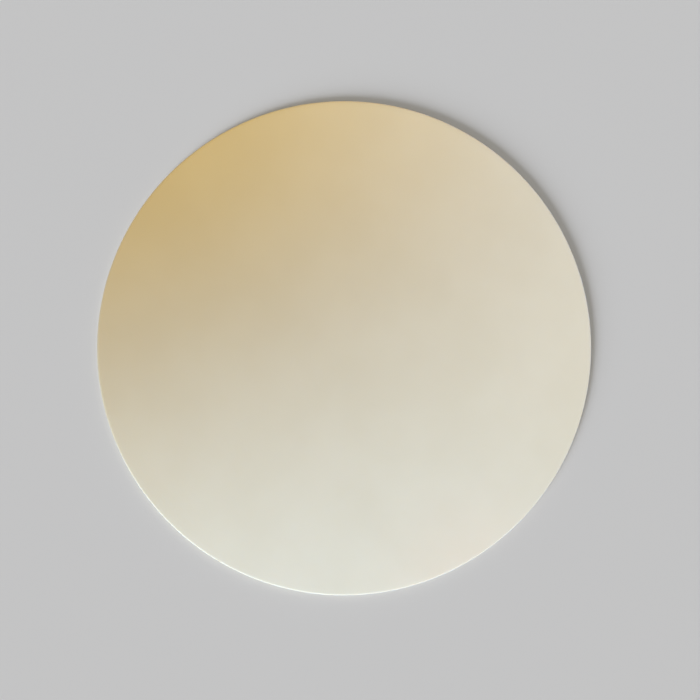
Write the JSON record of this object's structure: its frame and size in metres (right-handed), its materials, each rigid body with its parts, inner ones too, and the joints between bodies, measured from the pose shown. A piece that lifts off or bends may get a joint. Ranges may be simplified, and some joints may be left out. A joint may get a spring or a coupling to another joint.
{
  "type": "circle template",
  "caption": "Flat round template of stiff cream sheet plastic with an eased rim, for drawing or cutting a large circle.",
  "frame": {"origin": "centre of the flat underside that the template rests on", "axes": "+Z along the disc's axis, out of the top face; X and Y lie in the underside, and the disc is the same round every turn about Z"},
  "size_m": [0.277, 0.277, 0.003],
  "materials": {
    "cream_plastic": "satin, opaque"
  },
  "bodies": {
    "root": {"template_disc": "cream_plastic"}
  },
  "joints": []
}
